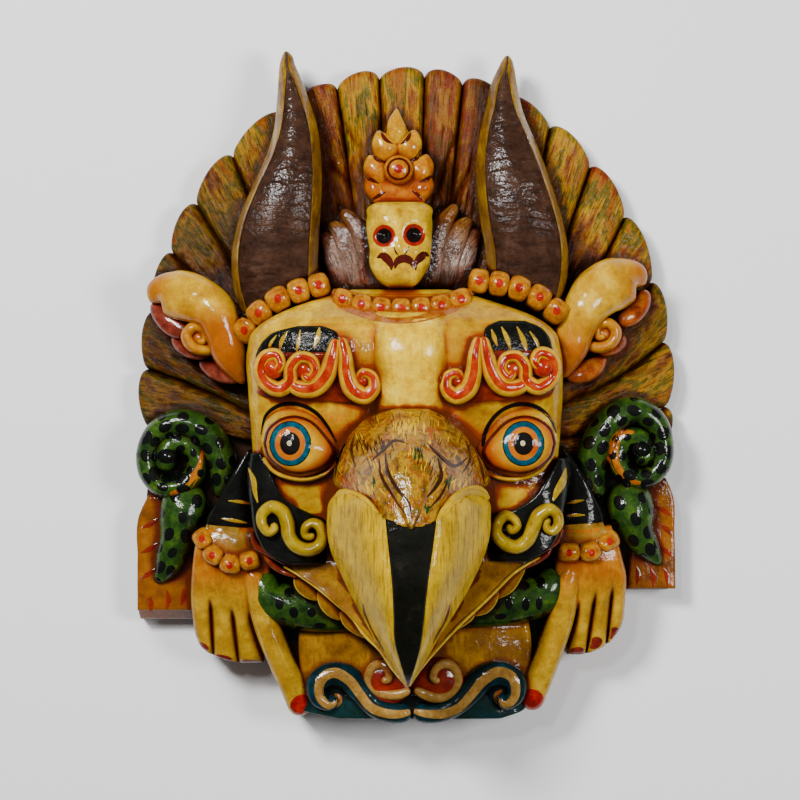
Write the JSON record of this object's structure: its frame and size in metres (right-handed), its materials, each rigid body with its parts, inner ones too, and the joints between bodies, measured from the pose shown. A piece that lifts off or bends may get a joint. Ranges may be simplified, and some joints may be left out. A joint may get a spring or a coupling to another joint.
{
  "type": "garuda mask",
  "caption": "Wooden wall mask of a beaked, horned bird deity with a fan of feathers behind the head and serpents at both sides.",
  "frame": {"origin": "middle of the flat back, where the mask lies on the floor or against a wall", "axes": "+X to the right of someone who faces the mask, +Y from the base towards the horn tips, +Z out of the face"},
  "size_m": [0.307, 0.376, 0.153],
  "materials": {
    "painted_wood": "gloss varnish over hand paint"
  },
  "bodies": {
    "root": {"garuda_mask": "painted_wood"}
  },
  "joints": []
}
